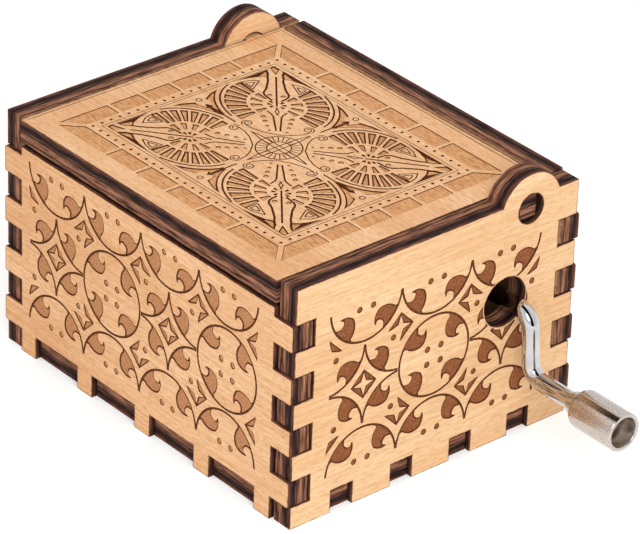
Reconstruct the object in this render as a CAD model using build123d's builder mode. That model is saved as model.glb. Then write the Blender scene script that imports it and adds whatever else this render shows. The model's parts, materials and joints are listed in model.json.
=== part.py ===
from build123d import *
from math import atan, cos, degrees, hypot, pi, radians, sin, tan
import os

# Hand-cranked music box. Millimetres, +Z up, front towards -Y, crank towards +X,
# origin in the middle of the underside.

# Plywood case
ply = 3.4
case_length = 64.0
side_depth = 51.0
side_height = 37.8
face_proud = 0.5
joint_gap = 0.1
root_gap = 0.5
corner_round = 0.35

# Finger joints at the four upright corners
finger_height = 4.05
finger_pitch = 8.2
floor_notch_gap = 0.2

# Notches for the floor tabs
face_notch_width = 9.85
face_notch_pitch = 13.25
side_notch_width = 3.95
side_notch_pitch = 10.9
floor_tab_recess = 0.9

# Lid and its wooden hinge
lid_side_gap = 0.3
lid_rear_gap = 0.7
lid_rest_gap = 0.8
hinge_setback = 6.0
tenon_width = 2.9
tenon_clearance = 0.1
tenon_recess = 0.7
ear_wall = 3.2

# Crank
rod_diameter = 2.6
crank_setback = 8.1
crank_height = 21.5
crank_hole_diameter = 7.7
crank_hole_forward = 1.9
crank_hole_up = 1.1
crank_reach = 3.35
crank_throw = 10.25
crank_lean = 4.0
crank_bend = 2.4
pin_length = 10.0
running_gap = 0.06
press_gap = 0.01
end_play = 0.3

# Knob
knob_diameter = 5.8
knob_length = 9.0
knob_round = 1.3
knob_wall = 0.6
knob_cup = 3.4
rivet_diameter = 3.3
rivet_thickness = 0.8
knob_play = 0.15
stop_diameter = 3.4
stop_width = 1.0

# Worm and wheel
tooth_module = 0.7
wheel_teeth = 16
wheel_width = 3.0
worm_pitch_diameter = 5.2
tooth_addendum = 0.57
tooth_dedendum = 0.83
tooth_share = 0.36
tooth_taper = 0.13
worm_turns = 3.0
worm_hub_diameter = 4.6
worm_hub = 1.5
collar_diameter = 4.6
collar_width = 1.6
rod_tail = 0.5
thrust_washer_thickness = 0.5

# Cylinder
movement_x = 6.0
barrel_diameter = 12.0
barrel_wall = 0.8
barrel_length = 20.0
barrel_to_teeth = 1.4
plug_depth = 2.0
cap_flange = 0.8
hub_diameter = 5.2
hub_length = 0.6
arbor_diameter = 2.0
arbor_overhang = 0.4
pin_width = 0.4
pin_reach = 0.5

# Comb
note_count = 18
note_pitch = 1.06
slot_width = 0.26
comb_clearance = 0.2
comb_length = 21.0
comb_thickness = 1.3
tooth_thickness = 0.85
tooth_short = 8.5
tooth_long = 12.5
comb_margin = 0.6

# Bedplate
bed_thickness = 2.2
bed_margin = 1.2
bed_corner = 2.0
cylinder_room = 0.4
cheek_thickness = 2.0
cheek_width = 7.0
post_thickness = 2.2
post_width = 5.2
post_foot = 6.4
post_clearance = 1.3
boss_diameter = 5.2
boss_height = 2.6

# Screws
comb_screw_diameter = 2.0
comb_screw_spacing = 10.0
comb_screw_head = 3.8
comb_screw_head_height = 1.1
comb_screw_length = 5.0
comb_screw_inset = 4.5
washer_diameter = 4.6
washer_thickness = 0.4
bed_screw_diameter = 2.4
bed_screw_head = 4.6
bed_screw_head_height = 1.3
bed_screw_sink = 0.2
bed_screw_bite = 4.2
screw_gap = 0.1
slot_depth = 0.5
slot_cut = 0.5

# Places that follow from the sizes
half_length = case_length / 2
inner_x = half_length - ply
face_y = side_depth / 2 + face_proud
inner_y = face_y - ply
notch_root_x = inner_x - root_gap
notch_root_y = inner_y - root_gap
lid_bottom = side_height - ply
front_height = lid_bottom - lid_rest_gap
floor_notch = ply + floor_notch_gap
hinge_y = inner_y - hinge_setback
hinge_z = side_height - ply / 2
hinge_hole_radius = hypot(ply, tenon_width) / 2 + tenon_clearance
ear_radius = hinge_hole_radius + ear_wall
lid_rear = inner_y - lid_rear_gap
finger_count = int((front_height - floor_notch - finger_height) / finger_pitch) + 1
finger_rows = [(0, floor_notch + finger_height / 2 + i * finger_pitch) for i in range(finger_count)]
face_notches = int(2 * inner_x / face_notch_pitch)
side_notches = int(2 * inner_y / side_notch_pitch)
face_notch_x = [(i - (face_notches - 1) / 2) * face_notch_pitch for i in range(face_notches)]
side_notch_y = [(i - (side_notches - 1) / 2) * side_notch_pitch for i in range(side_notches)]

rod_radius = rod_diameter / 2
crank_y = inner_y - crank_setback
wheel_radius = tooth_module * wheel_teeth / 2
worm_radius = worm_pitch_diameter / 2
axial_pitch = pi * tooth_module
lead_angle = degrees(atan(axial_pitch / (2 * pi * worm_radius)))
cylinder_z = crank_height - worm_radius - wheel_radius
wheel_front = crank_y - wheel_width / 2
wheel_rear = crank_y + wheel_width / 2
barrel_radius = barrel_diameter / 2
barrel_bore = barrel_radius - barrel_wall
barrel_rear = wheel_front - barrel_to_teeth
barrel_front = barrel_rear - barrel_length
barrel_middle = (barrel_front + barrel_rear) / 2
hub_rear = wheel_rear + hub_length
hub_front = barrel_front - cap_flange - hub_length
rear_cheek = hub_rear + end_play
front_cheek = hub_front - end_play - cheek_thickness
arbor_radius = arbor_diameter / 2
pin_circle = barrel_radius + pin_reach

bed_front = front_cheek - bed_margin
bed_rear = rear_cheek + cheek_thickness + bed_margin
comb_tip = movement_x - pin_circle - comb_clearance
comb_heel = comb_tip - comb_length
comb_width = note_count * note_pitch
comb_top = cylinder_z + tooth_thickness / 2
comb_under = comb_top - comb_thickness
seat_edge = comb_tip - tooth_long - comb_margin
post_offset = wheel_radius + tooth_addendum + post_clearance
outer_post = movement_x + post_offset
inner_post = movement_x - post_offset - post_thickness
boss_x = outer_post + post_thickness - boss_diameter / 2
boss_y = front_cheek + boss_diameter / 2
bed_left = comb_heel - bed_margin
bed_right = outer_post + post_thickness + bed_margin
comb_screw_x = comb_heel + comb_screw_inset
comb_screw_places = [(comb_screw_x, barrel_middle + s * comb_screw_spacing / 2) for s in (-1, 1)]
seat_screw_y = comb_screw_spacing / 2 + comb_screw_head / 2 + bed_screw_diameter / 2
bed_screw_places = [(comb_screw_x, barrel_middle - seat_screw_y), (comb_screw_x, barrel_middle + seat_screw_y)]
bed_screw_places = bed_screw_places + [(boss_x, boss_y)]

# Front panel: lower than the sides, four tabs at each end, feet between the floor tabs
with BuildPart() as front_panel:
    with BuildSketch(Plane.XZ.offset(face_y)) as front_outline:
        with Locations((0, front_height / 2)):
            Rectangle(2 * notch_root_x, front_height)
        with Locations(*finger_rows):
            Rectangle(case_length, finger_height)
        with Locations(*[(x, 0) for x in face_notch_x]):
            Rectangle(face_notch_width, 2 * floor_notch, mode=Mode.SUBTRACT)
        tab_corners = front_outline.vertices().filter_by(lambda v: abs(abs(v.X) - half_length) < 0.01)
        fillet(tab_corners, radius=corner_round)
    extrude(amount=-ply)

# Back panel: the same joints, as high as the sides
with BuildPart() as back_panel:
    with BuildSketch(Plane.XZ.offset(-face_y)) as back_outline:
        with Locations((0, side_height / 2)):
            Rectangle(2 * notch_root_x, side_height)
        with Locations(*finger_rows):
            Rectangle(case_length, finger_height)
        with Locations(*[(x, 0) for x in face_notch_x]):
            Rectangle(face_notch_width, 2 * floor_notch, mode=Mode.SUBTRACT)
        tab_corners = back_outline.vertices().filter_by(lambda v: abs(abs(v.X) - half_length) < 0.01)
        fillet(tab_corners, radius=corner_round)
    extrude(amount=ply)

# Side panels: notches for the tabs of front and back, feet, hinge ear and hinge hole
end_notch = side_depth / 2 - notch_root_y
end_notches = [(s * side_depth / 2, z) for s in (-1, 1) for _, z in finger_rows]
with BuildPart() as left_panel:
    with BuildSketch(Plane.YZ.offset(-half_length)):
        with Locations((0, side_height / 2)):
            Rectangle(side_depth, side_height)
        with Locations((hinge_y, hinge_z)):
            Circle(ear_radius)
        with Locations(*end_notches):
            Rectangle(2 * end_notch, finger_height + 2 * joint_gap, mode=Mode.SUBTRACT)
        with Locations(*[(y, 0) for y in side_notch_y]):
            Rectangle(side_notch_width, 2 * floor_notch, mode=Mode.SUBTRACT)
        with Locations((hinge_y, hinge_z)):
            Circle(hinge_hole_radius, mode=Mode.SUBTRACT)
    extrude(amount=ply)

with BuildPart() as right_panel:
    with BuildSketch(Plane.YZ.offset(half_length)):
        with Locations((0, side_height / 2)):
            Rectangle(side_depth, side_height)
        with Locations((hinge_y, hinge_z)):
            Circle(ear_radius)
        with Locations(*end_notches):
            Rectangle(2 * end_notch, finger_height + 2 * joint_gap, mode=Mode.SUBTRACT)
        with Locations(*[(y, 0) for y in side_notch_y]):
            Rectangle(side_notch_width, 2 * floor_notch, mode=Mode.SUBTRACT)
        with Locations((hinge_y, hinge_z)):
            Circle(hinge_hole_radius, mode=Mode.SUBTRACT)
        with Locations((crank_y - crank_hole_forward, crank_height + crank_hole_up)):
            Circle(crank_hole_diameter / 2, mode=Mode.SUBTRACT)
    extrude(amount=-ply)

# Floor: tabs in all four walls, countersunk holes for the movement
with BuildPart() as bottom_panel:
    with BuildSketch(Plane.XY):
        Rectangle(2 * (inner_x - joint_gap), 2 * (inner_y - joint_gap))
        with Locations(*[(x, 0) for x in face_notch_x]):
            Rectangle(face_notch_width - 2 * joint_gap, 2 * (face_y - floor_tab_recess))
        with Locations(*[(0, y) for y in side_notch_y]):
            Rectangle(2 * (half_length - floor_tab_recess), side_notch_width - 2 * joint_gap)
    extrude(amount=ply)
    with Locations(*[(x, y, bed_screw_sink) for x, y in bed_screw_places]):
        Cone(
            bed_screw_head / 2 + screw_gap,
            bed_screw_diameter / 2 + screw_gap,
            bed_screw_head_height,
            align=(Align.CENTER, Align.CENTER, Align.MIN),
            mode=Mode.SUBTRACT,
        )
        Cylinder(bed_screw_diameter / 2 + screw_gap, 3 * ply, mode=Mode.SUBTRACT)
    with Locations(*bed_screw_places):
        Cylinder(bed_screw_head / 2 + screw_gap, 2 * bed_screw_sink, mode=Mode.SUBTRACT)

# Lid: one flat board with a square tenon at each end
with BuildPart() as lid:
    with BuildSketch(Plane.XY.offset(lid_bottom)):
        with Locations((0, (lid_rear - face_y) / 2)):
            Rectangle(2 * (inner_x - lid_side_gap), lid_rear + face_y)
        with Locations((0, hinge_y)):
            Rectangle(2 * (half_length - tenon_recess), tenon_width)
    extrude(amount=ply)

# Bedplate: casting with a seat for the comb, two cheeks and two posts, and room for the cylinder
with BuildPart() as bedplate:
    with BuildSketch(Plane.XY.offset(ply)):
        with Locations(((bed_left + bed_right) / 2, (bed_front + bed_rear) / 2)):
            RectangleRounded(bed_right - bed_left, bed_rear - bed_front, bed_corner)
    extrude(amount=bed_thickness)
    with BuildSketch(Plane.XY.offset(ply)):
        with Locations(((comb_heel + seat_edge) / 2, barrel_middle)):
            Rectangle(seat_edge - comb_heel, comb_width + 2 * comb_margin)
    extrude(amount=comb_under - ply)
    with BuildSketch(Plane.XY.offset(ply)):
        with Locations((boss_x, boss_y)):
            Circle(boss_diameter / 2)
    extrude(amount=bed_thickness + boss_height)
    for cheek in (front_cheek, rear_cheek):
        with BuildSketch(Plane.XZ.offset(-cheek)):
            with Locations((movement_x, (ply + cylinder_z) / 2)):
                Rectangle(cheek_width, cylinder_z - ply)
            with Locations((movement_x, cylinder_z)):
                Circle(cheek_width / 2)
                Circle(arbor_radius + press_gap, mode=Mode.SUBTRACT)
        extrude(amount=-cheek_thickness)
    for post in (inner_post, outer_post):
        with BuildSketch(Plane.YZ.offset(post)):
            with Locations((crank_y, ply + bed_thickness / 2)):
                Rectangle(post_foot, bed_thickness)
            with Locations((crank_y, crank_height)):
                Circle(post_width / 2)
            make_hull()
            with Locations((crank_y, crank_height)):
                Circle(rod_radius + running_gap, mode=Mode.SUBTRACT)
        extrude(amount=post_thickness)
    with BuildSketch(Plane.XZ.offset(-hub_front)):
        with Locations((movement_x, cylinder_z)):
            Circle(pin_circle + cylinder_room)
    extrude(amount=hub_front - hub_rear, mode=Mode.SUBTRACT)
    with Locations(*[(x, y, ply) for x, y in bed_screw_places]):
        Cylinder(
            bed_screw_diameter / 2 + press_gap,
            bed_screw_bite + press_gap,
            align=(Align.CENTER, Align.CENTER, Align.MIN),
            mode=Mode.SUBTRACT,
        )
    with Locations(*[(x, y, comb_under) for x, y in comb_screw_places]):
        Cylinder(
            comb_screw_diameter / 2 + press_gap,
            comb_screw_length + press_gap,
            align=(Align.CENTER, Align.CENTER, Align.MAX),
            mode=Mode.SUBTRACT,
        )

# Screws that hold the bedplate on the floor, with slotted countersunk heads
with BuildPart() as bedplate_screws:
    with Locations(*[(x, y, bed_screw_sink) for x, y in bed_screw_places]):
        Cone(
            bed_screw_head / 2,
            bed_screw_diameter / 2,
            bed_screw_head_height,
            align=(Align.CENTER, Align.CENTER, Align.MIN),
        )
        Cylinder(
            bed_screw_diameter / 2,
            ply + bed_screw_bite - bed_screw_sink,
            align=(Align.CENTER, Align.CENTER, Align.MIN),
        )
        Box(bed_screw_head, slot_cut, 2 * slot_depth, mode=Mode.SUBTRACT)

# Arbor: steel pin pressed in the two cheeks
arbor_start = front_cheek - arbor_overhang
arbor_length = rear_cheek + cheek_thickness + arbor_overhang - arbor_start
with BuildPart() as cylinder_arbor:
    with BuildSketch(Plane.XZ.offset(-arbor_start)):
        with Locations((movement_x, cylinder_z)):
            Circle(arbor_radius)
    extrude(amount=-arbor_length)
    chamfer(cylinder_arbor.edges().filter_by(GeomType.CIRCLE), arbor_overhang / 2)

# Barrel: brass tube, each note has its own ring of pins, square here to save faces
pin_places = []
for note in range(note_count):
    for beat in range(4):
        angle = 90.0 * beat + (note * 37 + beat * beat * 11) % 80
        pin_y = barrel_middle + (note - (note_count - 1) / 2) * note_pitch
        ring = Location((movement_x, pin_y, cylinder_z), (0, angle, 0))
        pin_places.append(ring * Location((0, 0, barrel_radius - barrel_wall / 2)))
with BuildPart() as cylinder_barrel:
    with BuildSketch(Plane.XZ.offset(-barrel_front)):
        with Locations((movement_x, cylinder_z)):
            Circle(barrel_radius)
            Circle(barrel_bore, mode=Mode.SUBTRACT)
    extrude(amount=-barrel_length)
    with Locations(*pin_places):
        Box(
            pin_width,
            pin_width,
            pin_reach + barrel_wall / 2,
            align=(Align.CENTER, Align.CENTER, Align.MIN),
        )

# End cap: plug with a flange and a short hub
with BuildPart() as cylinder_end_cap:
    with BuildSketch(Plane.XZ.offset(-barrel_front)):
        with Locations((movement_x, cylinder_z)):
            Circle(barrel_radius)
    extrude(amount=cap_flange)
    with BuildSketch(Plane.XZ.offset(-barrel_front)):
        with Locations((movement_x, cylinder_z)):
            Circle(barrel_bore - press_gap)
    extrude(amount=-plug_depth)
    with BuildSketch(Plane.XZ.offset(-barrel_front)):
        with Locations((movement_x, cylinder_z)):
            Circle(hub_diameter / 2)
    extrude(amount=cap_flange + hub_length)
    with BuildSketch(Plane.XZ.offset(-barrel_front)):
        with Locations((movement_x, cylinder_z)):
            Circle(arbor_radius + running_gap)
    extrude(amount=barrel_length, both=True, mode=Mode.SUBTRACT)

# Worm wheel: slanted teeth that follow the thread of the worm, and a plug for the barrel
tip_radius = wheel_radius + tooth_addendum
root_radius = wheel_radius - tooth_dedendum
root_width = axial_pitch * (tooth_share + tooth_taper)
tip_width = axial_pitch * (tooth_share - tooth_taper)
tooth_twist = degrees(wheel_width * tan(radians(lead_angle)) / wheel_radius)
with BuildPart(mode=Mode.PRIVATE) as wheel_tooth:
    for face, turn in ((wheel_front, -tooth_twist / 2), (wheel_rear, tooth_twist / 2)):
        with BuildSketch(Plane.XZ.offset(-face).rotated((0, 0, -turn))):
            with BuildLine():
                Polyline(
                    (-root_width / 2, root_radius - tooth_dedendum / 4),
                    (root_width / 2, root_radius - tooth_dedendum / 4),
                    (tip_width / 2, tip_radius),
                    (-tip_width / 2, tip_radius),
                    close=True,
                )
            make_face()
    loft(ruled=True)
with BuildPart() as worm_wheel:
    with BuildSketch(Plane.XZ.offset(-wheel_front)):
        with Locations((movement_x, cylinder_z)):
            Circle(root_radius)
    extrude(amount=-wheel_width)
    tooth_turns = [360 * (i - worm_turns / 2) / wheel_teeth for i in range(wheel_teeth)]
    with Locations(*[Location((movement_x, 0, cylinder_z), (0, turn, 0)) for turn in tooth_turns]):
        add(wheel_tooth.part)
    with BuildSketch(Plane.XZ.offset(-barrel_rear)):
        with Locations((movement_x, cylinder_z)):
            Circle(root_radius)
    extrude(amount=-barrel_to_teeth)
    with BuildSketch(Plane.XZ.offset(-barrel_rear)):
        with Locations((movement_x, cylinder_z)):
            Circle(barrel_bore - press_gap)
    extrude(amount=plug_depth)
    with BuildSketch(Plane.XZ.offset(-wheel_rear)):
        with Locations((movement_x, cylinder_z)):
            Circle(hub_diameter / 2)
    extrude(amount=-hub_length)
    with BuildSketch(Plane.XZ.offset(-barrel_rear)):
        with Locations((movement_x, cylinder_z)):
            Circle(arbor_radius + running_gap)
    extrude(amount=barrel_length, both=True, mode=Mode.SUBTRACT)

# Comb: thick heel on the seat, thin teeth, slots graded from short to long
with BuildPart() as comb:
    with BuildSketch(Plane.XZ.offset(comb_width / 2 - barrel_middle)):
        with Locations(((comb_heel + comb_tip) / 2, comb_top - tooth_thickness / 2)):
            Rectangle(comb_length, tooth_thickness)
        with Locations(((comb_heel + seat_edge) / 2, comb_top - comb_thickness / 2)):
            Rectangle(seat_edge - comb_heel, comb_thickness)
    extrude(amount=-comb_width)
    for i in range(note_count - 1):
        slot_y = barrel_middle + (i - (note_count - 2) / 2) * note_pitch
        slot_length = tooth_short + (tooth_long - tooth_short) * i / (note_count - 2)
        with Locations((comb_tip - slot_length / 2, slot_y, comb_top)):
            Box(slot_length, slot_width, 4 * comb_thickness, mode=Mode.SUBTRACT)
    with Locations(*[(x, y, comb_top) for x, y in comb_screw_places]):
        Cylinder(comb_screw_diameter / 2 + screw_gap, 4 * comb_thickness, mode=Mode.SUBTRACT)

# Washers and slotted screws that hold the comb
washer_top = comb_top + washer_thickness
with BuildPart() as comb_washers:
    with Locations(*[(x, y, comb_top) for x, y in comb_screw_places]):
        Cylinder(washer_diameter / 2, washer_thickness, align=(Align.CENTER, Align.CENTER, Align.MIN))
        Cylinder(comb_screw_diameter / 2 + screw_gap, 4 * washer_thickness, mode=Mode.SUBTRACT)

with BuildPart() as comb_screws:
    with Locations(*[(x, y, washer_top) for x, y in comb_screw_places]):
        Cylinder(
            comb_screw_head / 2,
            comb_screw_head_height,
            align=(Align.CENTER, Align.CENTER, Align.MIN),
        )
        Cylinder(
            comb_screw_diameter / 2,
            washer_top - comb_under + comb_screw_length,
            align=(Align.CENTER, Align.CENTER, Align.MAX),
        )
    with Locations(*[(x, y, washer_top + comb_screw_head_height) for x, y in comb_screw_places]):
        Box(slot_cut, comb_screw_head, 2 * slot_depth, mode=Mode.SUBTRACT)

# Crank: one wire, straight through both posts, bent twice, its end riveted over in the knob
bend_x = half_length + crank_reach
rod_start = inner_post - end_play - collar_width - rod_tail
knob_inner = bend_x + pin_length
knob_outer = knob_inner + knob_length
rivet_x = knob_outer - knob_cup + knob_play
lean = radians(crank_lean)
pin_y = crank_y + crank_throw * sin(lean)
pin_z = crank_height - crank_throw * cos(lean)
crank_plane = Plane(origin=(0, crank_y, crank_height), x_dir=(1, 0, 0), z_dir=(0, -cos(lean), -sin(lean)))
with BuildPart() as crank_rod:
    with BuildLine(crank_plane):
        FilletPolyline(
            (rod_start, 0),
            (bend_x, 0),
            (bend_x, -crank_throw),
            (rivet_x + rivet_thickness / 2, -crank_throw),
            radius=crank_bend,
        )
    with BuildSketch(Plane.YZ.offset(rod_start)):
        with Locations((crank_y, crank_height)):
            Circle(rod_radius)
    sweep()
    with BuildSketch(Plane.YZ.offset(rivet_x)):
        with Locations((pin_y, pin_z)):
            Circle(rivet_diameter / 2)
    extrude(amount=rivet_thickness)
    chamfer(crank_rod.edges().group_by(Axis.X)[-1], rivet_thickness / 2)

# Worm: sleeve with one right-hand thread, pressed on the rod above the wheel
worm_start = movement_x - post_offset + end_play
worm_end = movement_x + post_offset - end_play - thrust_washer_thickness
thread_start = movement_x - worm_turns * axial_pitch / 2
core_radius = worm_radius - tooth_dedendum
thread_root = root_width * cos(radians(lead_angle))
thread_tip = tip_width * cos(radians(lead_angle))
worm_centre = (thread_start, crank_y, crank_height)
with BuildPart() as worm:
    with BuildLine() as thread_path:
        Helix(axial_pitch, worm_turns * axial_pitch, worm_radius, center=worm_centre, direction=(1, 0, 0))
    thread_plane = Plane(thread_path.line @ 0, x_dir=(0, 0, 1), z_dir=thread_path.line % 0)
    with BuildSketch(thread_plane):
        with BuildLine():
            Polyline(
                (-tooth_dedendum * 1.25, -thread_root / 2),
                (tooth_addendum, -thread_tip / 2),
                (tooth_addendum, thread_tip / 2),
                (-tooth_dedendum * 1.25, thread_root / 2),
                close=True,
            )
        make_face()
    sweep(path=thread_path.line, is_frenet=True)
    with BuildSketch(Plane.YZ.offset(worm_start)):
        with Locations((crank_y, crank_height)):
            Circle(core_radius)
    extrude(amount=worm_end - worm_start)
    with BuildSketch(Plane.YZ.offset(worm_start)):
        with Locations((crank_y, crank_height)):
            Circle(worm_hub_diameter / 2)
    extrude(amount=worm_hub)
    with BuildSketch(Plane.YZ.offset(worm_end)):
        with Locations((crank_y, crank_height)):
            Circle(worm_hub_diameter / 2)
    extrude(amount=-worm_hub)
    with BuildSketch(Plane.YZ.offset(worm_start)):
        with Locations((crank_y, crank_height)):
            Circle(rod_radius + press_gap)
    extrude(amount=worm_end - worm_start, both=True, mode=Mode.SUBTRACT)

# Washer between the worm and the outer post, and the collar behind the inner post
with BuildPart() as thrust_washer:
    with BuildSketch(Plane.YZ.offset(worm_end)):
        with Locations((crank_y, crank_height)):
            Circle(collar_diameter / 2)
            Circle(rod_radius + press_gap, mode=Mode.SUBTRACT)
    extrude(amount=thrust_washer_thickness)

with BuildPart() as rod_collar:
    with BuildSketch(Plane.YZ.offset(inner_post - end_play)):
        with Locations((crank_y, crank_height)):
            Circle(collar_diameter / 2)
            Circle(rod_radius + press_gap, mode=Mode.SUBTRACT)
    extrude(amount=-collar_width)

# Stop ring on the pin, and the knob that turns on the pin
with BuildPart() as knob_stop:
    with BuildSketch(Plane.YZ.offset(knob_inner - knob_play)):
        with Locations((pin_y, pin_z)):
            Circle(stop_diameter / 2)
            Circle(rod_radius + press_gap, mode=Mode.SUBTRACT)
    extrude(amount=-stop_width)

with BuildPart() as crank_knob:
    with BuildSketch(Plane.YZ.offset(knob_inner)):
        with Locations((pin_y, pin_z)):
            Circle(knob_diameter / 2)
    extrude(amount=knob_length)
    fillet(crank_knob.edges().group_by(Axis.X)[0], knob_round)
    chamfer(crank_knob.edges().group_by(Axis.X)[-1], knob_wall / 3)
    with BuildSketch(Plane.YZ.offset(knob_outer)):
        with Locations((pin_y, pin_z)):
            Circle(knob_diameter / 2 - knob_wall)
    extrude(amount=-knob_cup, mode=Mode.SUBTRACT)
    with BuildSketch(Plane.YZ.offset(knob_inner)):
        with Locations((pin_y, pin_z)):
            Circle(rod_radius + running_gap)
    extrude(amount=knob_length, mode=Mode.SUBTRACT)

# Names and files
os.makedirs("parts", exist_ok=True)
pieces = {
    "front_panel": front_panel,
    "back_panel": back_panel,
    "left_panel": left_panel,
    "right_panel": right_panel,
    "bottom_panel": bottom_panel,
    "lid": lid,
    "bedplate": bedplate,
    "bedplate_screws": bedplate_screws,
    "cylinder_arbor": cylinder_arbor,
    "cylinder_barrel": cylinder_barrel,
    "cylinder_end_cap": cylinder_end_cap,
    "worm_wheel": worm_wheel,
    "comb": comb,
    "comb_washers": comb_washers,
    "comb_screws": comb_screws,
    "crank_rod": crank_rod,
    "worm": worm,
    "thrust_washer": thrust_washer,
    "rod_collar": rod_collar,
    "knob_stop": knob_stop,
    "crank_knob": crank_knob,
}
for name, piece in pieces.items():
    piece.part.label = name
    export_step(piece.part, f"parts/{name}.step")
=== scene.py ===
import json
from math import cos, hypot, pi, radians, sin

import bmesh
import bpy
from mathutils import Matrix, Vector
from mathutils.geometry import delaunay_2d_cdt, intersect_point_line


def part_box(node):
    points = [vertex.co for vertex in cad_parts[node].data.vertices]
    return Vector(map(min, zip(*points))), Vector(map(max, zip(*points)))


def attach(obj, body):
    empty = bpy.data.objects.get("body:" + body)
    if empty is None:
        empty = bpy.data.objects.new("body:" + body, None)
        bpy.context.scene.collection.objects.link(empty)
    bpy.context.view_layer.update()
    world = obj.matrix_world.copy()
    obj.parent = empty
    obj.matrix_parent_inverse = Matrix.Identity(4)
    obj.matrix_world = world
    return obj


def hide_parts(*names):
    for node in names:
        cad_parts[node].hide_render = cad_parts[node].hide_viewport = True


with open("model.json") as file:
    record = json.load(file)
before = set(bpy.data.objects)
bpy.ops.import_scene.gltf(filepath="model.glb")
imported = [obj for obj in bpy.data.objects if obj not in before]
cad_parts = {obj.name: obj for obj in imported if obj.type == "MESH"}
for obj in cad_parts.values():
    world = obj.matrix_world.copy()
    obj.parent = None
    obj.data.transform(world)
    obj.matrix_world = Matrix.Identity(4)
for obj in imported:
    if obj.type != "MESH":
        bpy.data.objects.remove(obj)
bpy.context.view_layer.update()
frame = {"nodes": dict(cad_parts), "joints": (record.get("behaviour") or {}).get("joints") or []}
cad = frame["nodes"]

# Floor board: birch plywood cut by laser, with tabs in the notches of the four walls.
# The beam leaves pale veneer on the faces, a brown fringe of smoke and a charred edge.
mm = 0.001


def linear(colour):
    # An sRGB hex colour in linear light, with full cover.
    parts = [int(colour[i:i + 2], 16) / 255 for i in (1, 3, 5)]
    return [c / 12.92 if c <= 0.04045 else ((c + 0.055) / 1.055) ** 2.4 for c in parts] + [1.0]


def add(material, kind, inputs={}, stops=(), **settings):
    # One node with its settings, its colour stops, and a value or a link for each socket named.
    node = material.node_tree.nodes.new("ShaderNode" + kind)
    for name, value in settings.items():
        setattr(node, name, value)
    for i, (place, colour) in enumerate(stops):
        element = node.color_ramp.elements[i] if i < 2 else node.color_ramp.elements.new(place)
        element.position = place
        element.color = linear(colour)
    for socket, value in inputs.items():
        if isinstance(value, bpy.types.NodeSocket):
            material.node_tree.links.new(value, node.inputs[socket])
        else:
            node.inputs[socket].default_value = value
    return node


def blank(name):
    # A material without nodes.
    material = bpy.data.materials.new(name)
    material.use_nodes = True
    material.node_tree.nodes.clear()
    return material


def birch_veneer(name, along, across, tones, fleck):
    # Sliced birch, sanded and bare: peach to honey in long soft streaks, short darker pores,
    # a matt surface, and ragged smoke stain that fades within a quarter millimetre of each cut.
    wood = blank(name)
    place = add(wood, "TexCoord").outputs["Object"]
    cloud_size = along * 40 * mm + across * 11 * mm
    streak_size = along * 12 * mm + across * 0.42 * mm
    pore_size = along * 1.2 * mm + across * 0.22 * mm
    clouds = add(wood, "Mapping", {"Vector": place, "Scale": [1 / s for s in cloud_size]})
    cloud = add(wood, "TexNoise", {"Vector": clouds.outputs[0], "Scale": 1.0, "Detail": 2.0})
    streaks = add(wood, "Mapping", {"Vector": place, "Scale": [1 / s for s in streak_size]})
    streak = add(wood, "TexNoise", {"Vector": streaks.outputs[0], "Scale": 1.0, "Detail": 4.0})
    pores = add(wood, "Mapping", {"Vector": place, "Scale": [1 / s for s in pore_size]})
    pore = add(wood, "TexNoise", {"Vector": pores.outputs[0], "Scale": 1.0, "Detail": 2.0})
    bands = [(0.3, tones[0]), (0.5, tones[1]), (0.7, tones[2])]
    tone = add(wood, "ValToRGB", {"Fac": streak.outputs[0]}, stops=bands)
    warm = [(0.3, "#E6CDB2"), (0.7, "#FFFFFF")]
    drift = add(wood, "ValToRGB", {"Fac": cloud.outputs[0]}, stops=warm)
    shades = {0: 0.6, 6: tone.outputs[0], 7: drift.outputs[0]}
    body = add(wood, "Mix", shades, data_type="RGBA", blend_type="MULTIPLY")
    dash = [(0.48, "#000000"), (0.7, "#B0B0B0")]
    dashes = add(wood, "ValToRGB", {"Fac": pore.outputs[0]}, stops=dash)
    dark_pores = {0: dashes.outputs[0], 6: body.outputs[2], 7: linear(fleck)}
    pored = add(wood, "Mix", dark_pores, data_type="RGBA")
    char = add(wood, "Attribute", attribute_name="char").outputs["Fac"]
    ragged = add(wood, "TexNoise", {"Vector": place, "Scale": 1 / (0.9 * mm), "Detail": 4.0})
    smoke = add(wood, "Math", {0: char, 1: ragged.outputs[0]}, operation="MULTIPLY")
    stain = [(0.08, "#000000"), (0.22, "#808080"), (0.42, "#FFFFFF")]
    stained = add(wood, "ValToRGB", {"Fac": smoke.outputs[0]}, stops=stain)
    smoked = {0: stained.outputs[0], 6: pored.outputs[2], 7: linear("#5A3322")}
    colour = add(wood, "Mix", smoked, data_type="RGBA")
    relief = add(wood, "Bump", {"Strength": 0.25, "Distance": 0.03 * mm, "Height": streak.outputs[0]})
    shader = add(wood, "BsdfPrincipled", {
        "Base Color": colour.outputs[2],
        "Roughness": 0.62,
        "IOR": 1.45,
        "Specular IOR Level": 0.3,
        "Normal": relief.outputs[0],
    })
    add(wood, "OutputMaterial", {"Surface": shader.outputs[0]})
    return wood


along_x = Vector((1, 0, 0))
along_y = Vector((0, 1, 0))
along_z = Vector((0, 0, 1))
peach = ("#E4B07C", "#F0C091", "#F8CFA2")
pale = ("#E2B687", "#ECC497", "#F3CFA4")
veneer_x = birch_veneer("birch_veneer_grain_along_x", along_x, along_y + along_z, peach, "#B06F42")
veneer_y = birch_veneer("birch_veneer_grain_along_y", along_y, along_x + along_z, pale, "#BC8A58")

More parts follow.
